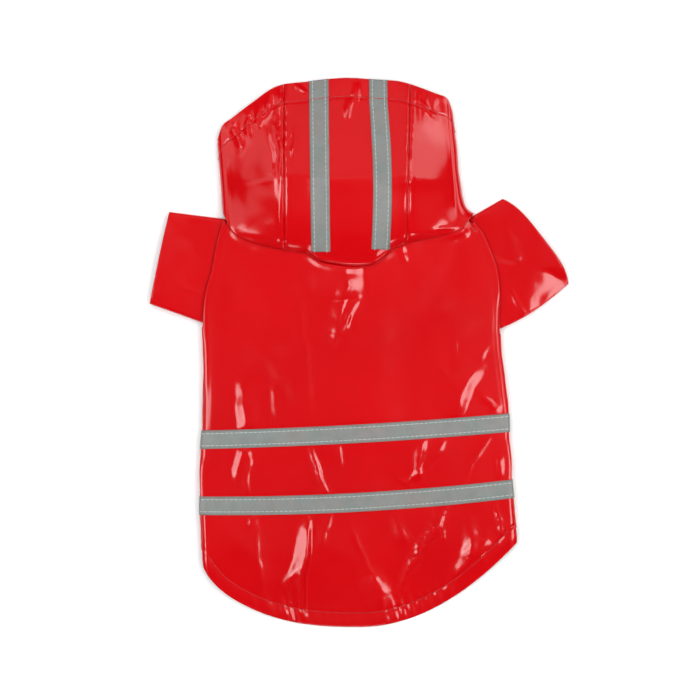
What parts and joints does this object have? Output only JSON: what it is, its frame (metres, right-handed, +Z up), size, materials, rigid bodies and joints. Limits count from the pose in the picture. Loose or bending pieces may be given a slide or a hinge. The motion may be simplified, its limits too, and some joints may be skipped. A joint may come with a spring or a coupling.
{
  "type": "hooded dog raincoat, laid flat",
  "caption": "Flat-laid hooded raincoat for a small dog: glossy red coated cloth, short sleeves, rounded tail and grey reflective tape round the body and over the hood.",
  "frame": {"origin": "under the middle of the garment's box, on the surface it lies on", "axes": "+X to the garment's right seen from behind, +Y from the tail to the hood, +Z up from the surface"},
  "size_m": [0.277, 0.3629, 0.0257],
  "materials": {
    "red_cloth": "patent gloss coating, smooth",
    "reflective_tape": "grey retroreflective, satin",
    "closing_tape": "matte hook and loop pile"
  },
  "bodies": {
    "root": {"back_panel": "red_cloth", "front_left": "red_cloth", "front_right": "red_cloth", "sleeve_left": "red_cloth", "sleeve_right": "red_cloth", "hood_centre": "red_cloth", "hood_side_left": "red_cloth", "hood_side_right": "red_cloth", "band_upper": "reflective_tape", "band_lower": "reflective_tape", "strip_left": "reflective_tape", "strip_right": "reflective_tape", "closure_hook": "closing_tape", "closure_loop": "closing_tape"}
  },
  "joints": []
}
